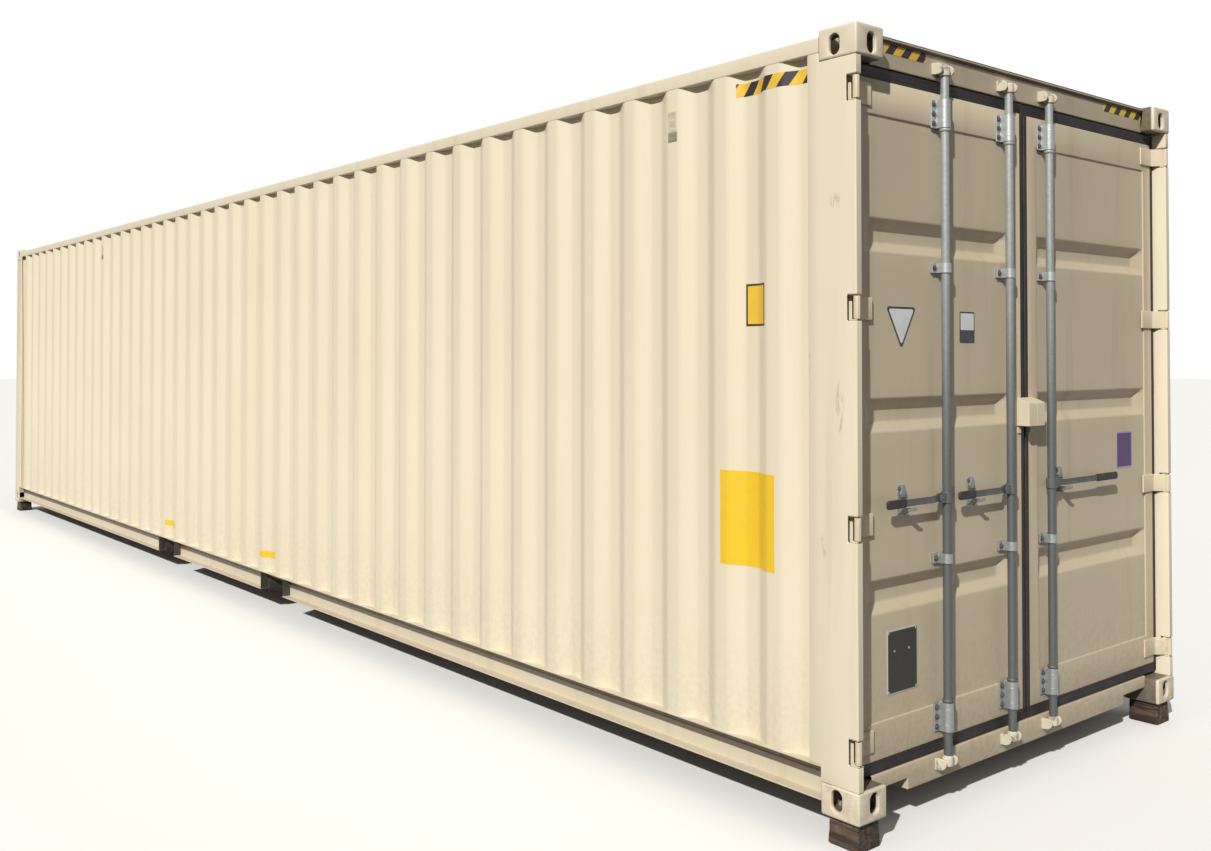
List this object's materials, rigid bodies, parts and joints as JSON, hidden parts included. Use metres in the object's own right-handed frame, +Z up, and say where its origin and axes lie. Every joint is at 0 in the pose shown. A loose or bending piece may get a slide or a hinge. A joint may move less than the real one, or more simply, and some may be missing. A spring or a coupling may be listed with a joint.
{
  "type": "shipping container",
  "caption": "High-cube shipping container with ribbed steel walls, corner castings, fork pockets and hinged end doors with lock rods, cams and lift handles, on timber blocks.",
  "frame": {"origin": "on the ground, under the middle of the base", "axes": "X along the length with the doors at +X, Y across, Z up"},
  "size_m": [12.192, 2.438, 3],
  "materials": {
    "shell_paint": "matte cream enamel, weathered",
    "door_paint": "matte cream enamel, weathered",
    "cam_paint": "cream enamel over forged steel",
    "galvanised": "galvanised steel, dulled",
    "hinge_steel": "painted hinge steel, worn",
    "seal": "weathered door seal",
    "plywood": "worn container plywood",
    "timber": "weathered hardwood block",
    "base_steel": "tar coated base steel"
  },
  "bodies": {
    "container": {"bottom_castings": "shell_paint", "cam_keepers": "cam_paint", "corner_blocks": "timber", "cross_members": "base_steel", "door_header": "shell_paint", "door_sill": "shell_paint", "floor_boards": "plywood", "fork_pockets": "base_steel", "front_bottom_rail": "shell_paint", "front_top_rail": "shell_paint", "front_wall": "shell_paint", "gooseneck_tunnel": "base_steel", "left_bottom_rail": "shell_paint", "left_door_post": "shell_paint", "left_front_post": "shell_paint", "left_hinge_lugs": "hinge_steel", "left_side_wall": "shell_paint", "left_top_rail": "shell_paint", "right_bottom_rail": "shell_paint", "right_door_post": "shell_paint", "right_front_post": "shell_paint", "right_hinge_lugs": "hinge_steel", "right_side_wall": "shell_paint", "right_top_rail": "shell_paint", "roof": "shell_paint", "top_castings": "shell_paint", "ventilators": "shell_paint"},
    "left_door": {"left_door_frame": "door_paint", "left_door_panel": "door_paint", "left_door_gasket": "seal", "left_hinge_blades": "hinge_steel", "left_rod_brackets": "galvanised", "left_handle_catches": "galvanised", "left_lock_box": "door_paint"},
    "right_door": {"right_door_frame": "door_paint", "right_door_panel": "door_paint", "right_door_gasket": "seal", "right_hinge_blades": "hinge_steel", "right_rod_brackets": "galvanised", "right_handle_catch": "galvanised", "right_lock_box": "door_paint"},
    "outer_left_rod": {"outer_left_lock_rod": "galvanised", "outer_left_cams": "cam_paint"},
    "inner_left_rod": {"inner_left_lock_rod": "galvanised", "inner_left_cams": "cam_paint"},
    "right_rod": {"right_lock_rod": "galvanised", "right_cams": "cam_paint"},
    "outer_left_handle_bar": {"outer_left_handle": "galvanised"},
    "inner_left_handle_bar": {"inner_left_handle": "galvanised"},
    "right_handle_bar": {"right_handle": "galvanised"}
  },
  "joints": [
    {"name": "left_door_swing", "type": "hinge", "parent": "container", "child": "left_door", "pos_m": [6.081, -1.201, 1.5], "axis": [0, 0, 1], "range_deg": [-265, 0]},
    {"name": "right_door_swing", "type": "hinge", "parent": "container", "child": "right_door", "pos_m": [6.081, 1.201, 1.5], "axis": [0, 0, -1], "range_deg": [-265, 0]},
    {"name": "outer_left_rod_turn", "type": "hinge", "parent": "left_door", "child": "outer_left_rod", "pos_m": [6.058, -0.62, 1.5], "axis": [0, 0, 1], "range_deg": [0, 100]},
    {"name": "inner_left_rod_turn", "type": "hinge", "parent": "left_door", "child": "inner_left_rod", "pos_m": [6.058, -0.16, 1.5], "axis": [0, 0, 1], "range_deg": [0, 100]},
    {"name": "right_rod_turn", "type": "hinge", "parent": "right_door", "child": "right_rod", "pos_m": [6.058, 0.16, 1.5], "axis": [0, 0, -1], "range_deg": [0, 100]},
    {"name": "outer_left_handle_lift", "type": "hinge", "parent": "outer_left_rod", "child": "outer_left_handle_bar", "pos_m": [6.058, -0.658, 1.232], "axis": [-1, 0, 0], "range_deg": [0, 15]},
    {"name": "inner_left_handle_lift", "type": "hinge", "parent": "inner_left_rod", "child": "inner_left_handle_bar", "pos_m": [6.058, -0.198, 1.232], "axis": [-1, 0, 0], "range_deg": [0, 15]},
    {"name": "right_handle_lift", "type": "hinge", "parent": "right_rod", "child": "right_handle_bar", "pos_m": [6.058, 0.198, 1.232], "axis": [1, 0, 0], "range_deg": [0, 15]}
  ]
}
